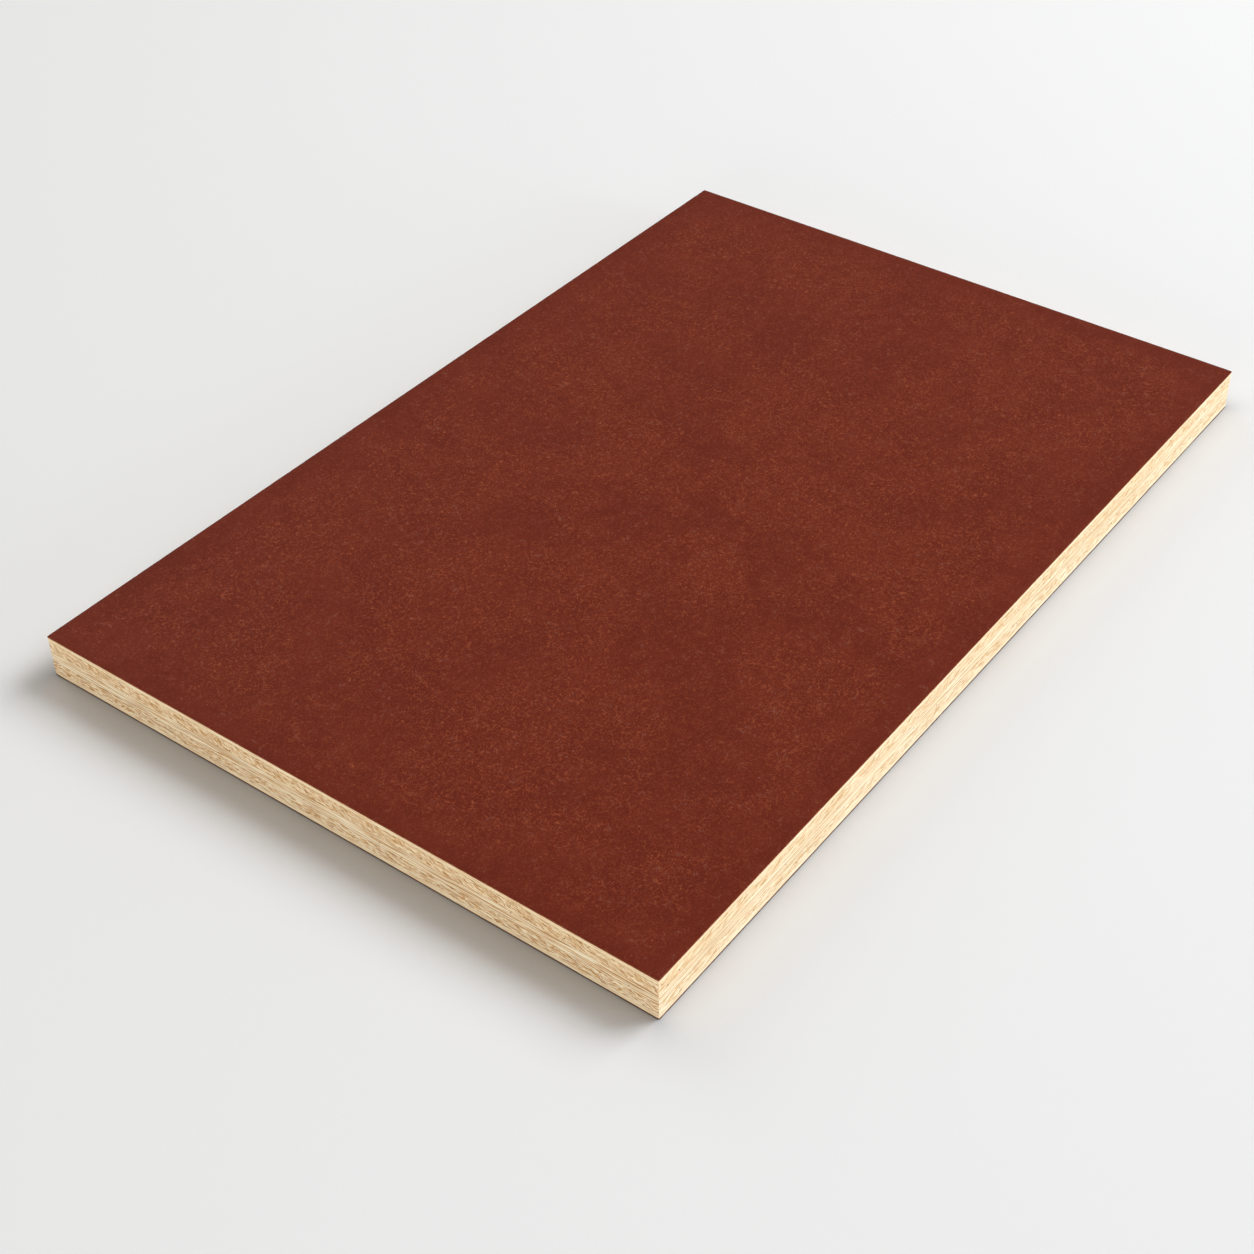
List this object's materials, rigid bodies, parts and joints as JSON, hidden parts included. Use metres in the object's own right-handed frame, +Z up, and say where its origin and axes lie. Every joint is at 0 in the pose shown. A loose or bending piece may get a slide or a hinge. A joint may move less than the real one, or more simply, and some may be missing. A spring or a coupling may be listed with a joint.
{
  "type": "phenolic laminate sheet",
  "caption": "Flat rectangular board with a red-brown phenolic laminate on both faces of a pale veneer core, sawn square, for formwork, floors, benches and trailer linings.",
  "frame": {"origin": "centre of the underside, on the surface that the board lies on", "axes": "+X along the length, +Y across the width, +Z up through the thickness"},
  "size_m": [0.45, 0.3, 0.02],
  "materials": {
    "phenolic_laminate": "satin",
    "face_veneer": "matte",
    "cross_veneer": "matte",
    "centre_veneer": "matte"
  },
  "bodies": {
    "root": {"lower_laminate": "phenolic_laminate", "lower_face_veneer": "face_veneer", "lower_outer_cross_veneer": "cross_veneer", "lower_inner_cross_veneer": "cross_veneer", "lower_centre_veneer": "centre_veneer", "upper_centre_veneer": "centre_veneer", "upper_inner_cross_veneer": "cross_veneer", "upper_outer_cross_veneer": "cross_veneer", "upper_face_veneer": "face_veneer", "upper_laminate": "phenolic_laminate"}
  },
  "joints": []
}
